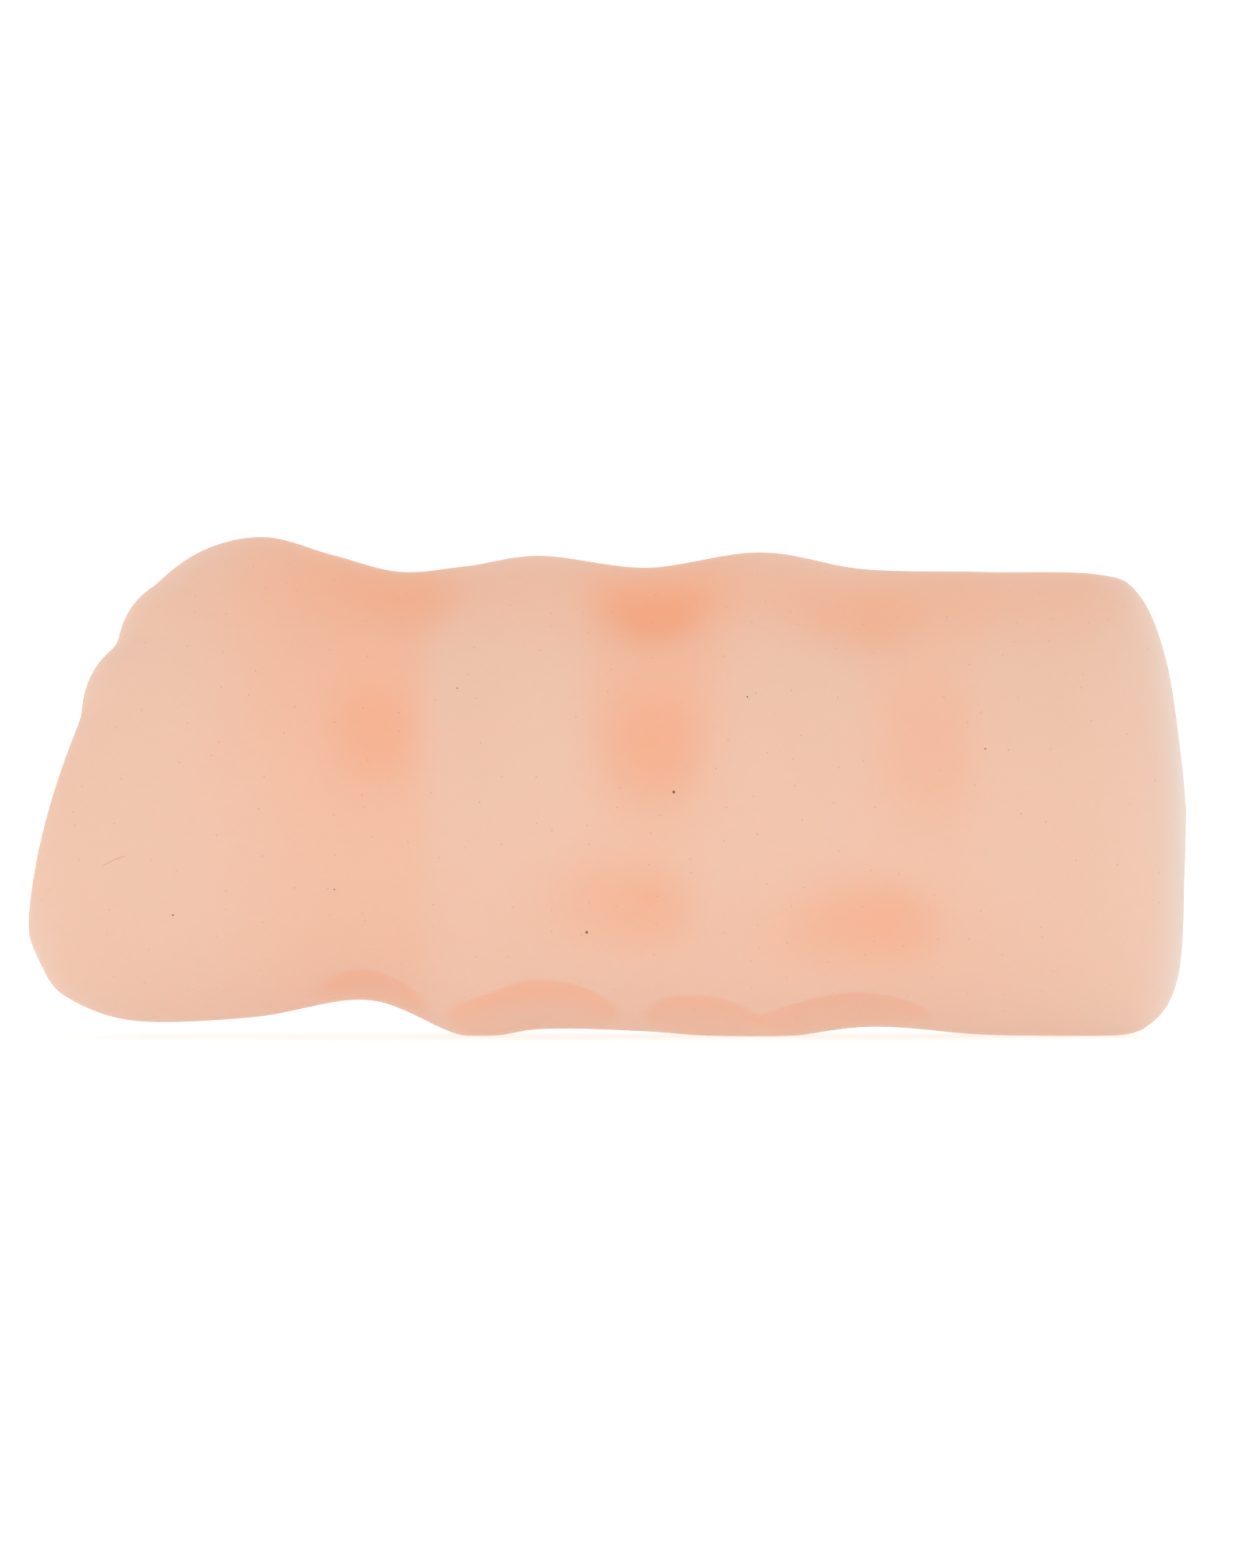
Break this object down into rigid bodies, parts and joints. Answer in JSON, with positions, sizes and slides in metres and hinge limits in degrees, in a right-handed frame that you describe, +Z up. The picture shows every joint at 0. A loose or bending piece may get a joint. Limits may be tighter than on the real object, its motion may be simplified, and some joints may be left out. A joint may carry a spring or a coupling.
{
  "type": "grip sleeve",
  "caption": "Soft skin-toned elastomer sleeve with a slanted flared mouth, finger dimples around a waisted barrel, a rounded closed end and a ribbed blind channel.",
  "frame": {"origin": "centre of the footprint, on the surface that the sleeve lies on", "axes": "+X along the sleeve from the slanted mouth to the closed end, +Y across it to its far side, +Z up"},
  "size_m": [0.1476, 0.0608, 0.0635],
  "materials": {
    "pale_elastomer": "soft matt pale peach elastomer, lightly powdered",
    "deep_elastomer": "soft satin deeper peach elastomer"
  },
  "bodies": {
    "root": {"outer_sleeve": "pale_elastomer", "channel_liner": "deep_elastomer"}
  },
  "joints": []
}
